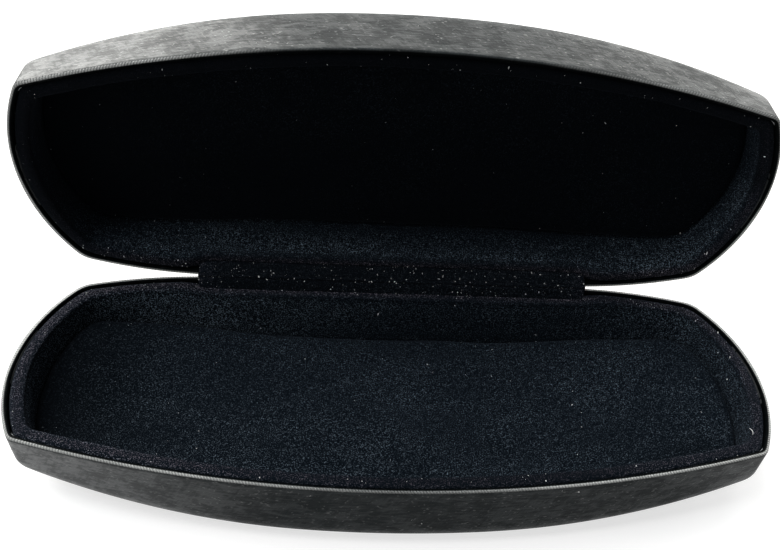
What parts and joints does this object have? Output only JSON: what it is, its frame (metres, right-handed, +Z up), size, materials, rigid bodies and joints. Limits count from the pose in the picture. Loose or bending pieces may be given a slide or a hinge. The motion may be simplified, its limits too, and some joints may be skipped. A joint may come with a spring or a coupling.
{
  "type": "glasses case",
  "caption": "Hard clamshell case for folded spectacles: two domed shells with a leather skin, flocked lining and a hidden spring hinge, standing open",
  "frame": {"origin": "centre of the flat foot under the base", "axes": "+X along the hinge line, +Y towards the hinge side at the rear, +Z up out of the base"},
  "size_m": [0.161, 0.0804, 0.0809],
  "materials": {
    "cover_leather": "black coated leather with a fine brushed grain",
    "flock": "black flocked cloth",
    "shell_steel": "grey primed sheet steel",
    "bare_steel": "satin"
  },
  "bodies": {
    "base": {"base_cover": "cover_leather", "base_shell": "shell_steel", "base_wall_lining": "flock", "base_floor_pad": "flock", "hinge_leaf_base": "bare_steel", "hinge_pin_left": "bare_steel", "hinge_pin_right": "bare_steel", "base_rivets": "bare_steel", "spring_rod_base": "bare_steel", "spring_strip": "bare_steel", "outer_spine": "cover_leather", "inner_hinge_strip": "flock"},
    "lid": {"lid_cover": "cover_leather", "lid_shell": "shell_steel", "lid_wall_lining": "flock", "lid_floor_pad": "flock", "hinge_leaf_lid": "bare_steel", "lid_rivets": "bare_steel", "spring_rod_lid": "bare_steel"}
  },
  "joints": [
    {"name": "lid_hinge", "type": "hinge", "parent": "base", "child": "lid", "pos_m": [0, 0.031, 0.019], "axis": [1, 0, 0], "range_deg": [0, 85.5], "deforming": ["spring_strip", "outer_spine", "inner_hinge_strip"]}
  ]
}
